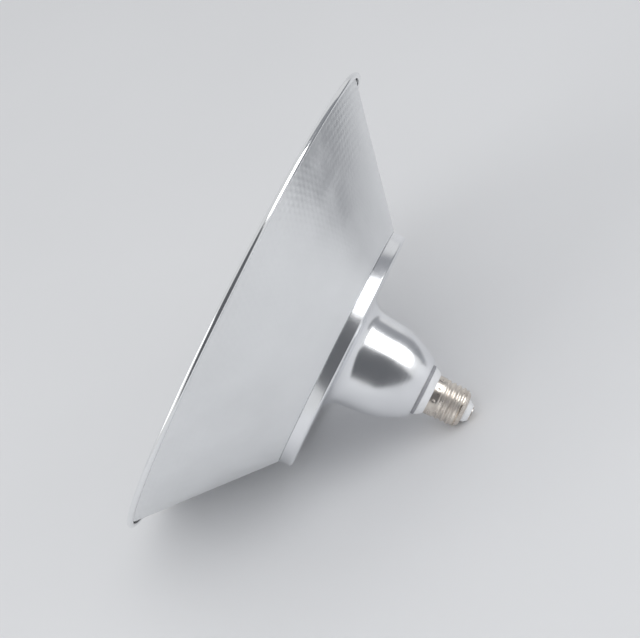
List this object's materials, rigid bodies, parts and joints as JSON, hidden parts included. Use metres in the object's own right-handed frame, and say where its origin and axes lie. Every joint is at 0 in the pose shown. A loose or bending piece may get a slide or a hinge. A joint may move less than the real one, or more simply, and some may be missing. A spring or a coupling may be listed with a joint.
{
  "type": "screw-base led high-bay lamp",
  "caption": "LED high-bay lamp: embossed conical aluminium reflector with a rolled rim, polished bell housing and an Edison screw cap.",
  "frame": {"origin": "centre of the shade's open rim, in the plane that the rolled rim rests on", "axes": "+Z along the lamp's axis, from the open rim to the screw cap; +Y is the side of the driver board that carries the tall components"},
  "size_m": [0.32, 0.32, 0.1614],
  "materials": {
    "embossed_aluminium": "embossed satin",
    "polished_aluminium": "polished",
    "plain_aluminium": "turned",
    "nickel_plate": "nickel plated",
    "white_plastic": "moulded",
    "sleeve_plastic": "moulded",
    "grey_rubber": "matte",
    "pad_silicone": "soft",
    "board_white": "solder mask",
    "led_phosphor": "phosphor",
    "frosted_cover": "frosted",
    "zinc_steel": "zinc plated",
    "nut_plastic": "moulded",
    "fibre_board": "fibre",
    "board_green": "solder mask",
    "ferrite": "sintered",
    "winding_tape": "tape",
    "black_sleeve": "shrink sleeve",
    "box_yellow": "moulded",
    "resistor_grey": "lacquer",
    "varistor_blue": "dipped",
    "lead_brown": "insulation",
    "lead_blue": "insulation",
    "lead_red": "insulation",
    "lead_black": "insulation"
  },
  "bodies": {
    "root": {"reflector_shade": "embossed_aluminium", "lamp_housing": "polished_aluminium", "heat_spreader": "plain_aluminium", "cap_shell": "nickel_plate", "centre_contact": "nickel_plate", "cap_holder": "white_plastic", "cap_insulator": "white_plastic", "board_connector": "white_plastic", "driver_sleeve": "sleeve_plastic", "nose_gasket": "grey_rubber", "thermal_pad": "pad_silicone", "led_board": "board_white", "led_packages": "led_phosphor", "diffuser": "frosted_cover", "board_screws": "zinc_steel", "shade_screws": "zinc_steel", "lock_nut": "nut_plastic", "insulator_disc": "fibre_board", "driver_board": "board_green", "transformer_core": "ferrite", "choke": "ferrite", "transformer_coil": "winding_tape", "input_capacitor": "black_sleeve", "output_capacitor": "black_sleeve", "bridge_rectifier": "black_sleeve", "driver_chip": "black_sleeve", "film_capacitor": "box_yellow", "fusible_resistor": "resistor_grey", "varistor": "varistor_blue", "live_lead": "lead_brown", "neutral_lead": "lead_blue", "positive_lead": "lead_red", "negative_lead": "lead_black"}
  },
  "joints": []
}
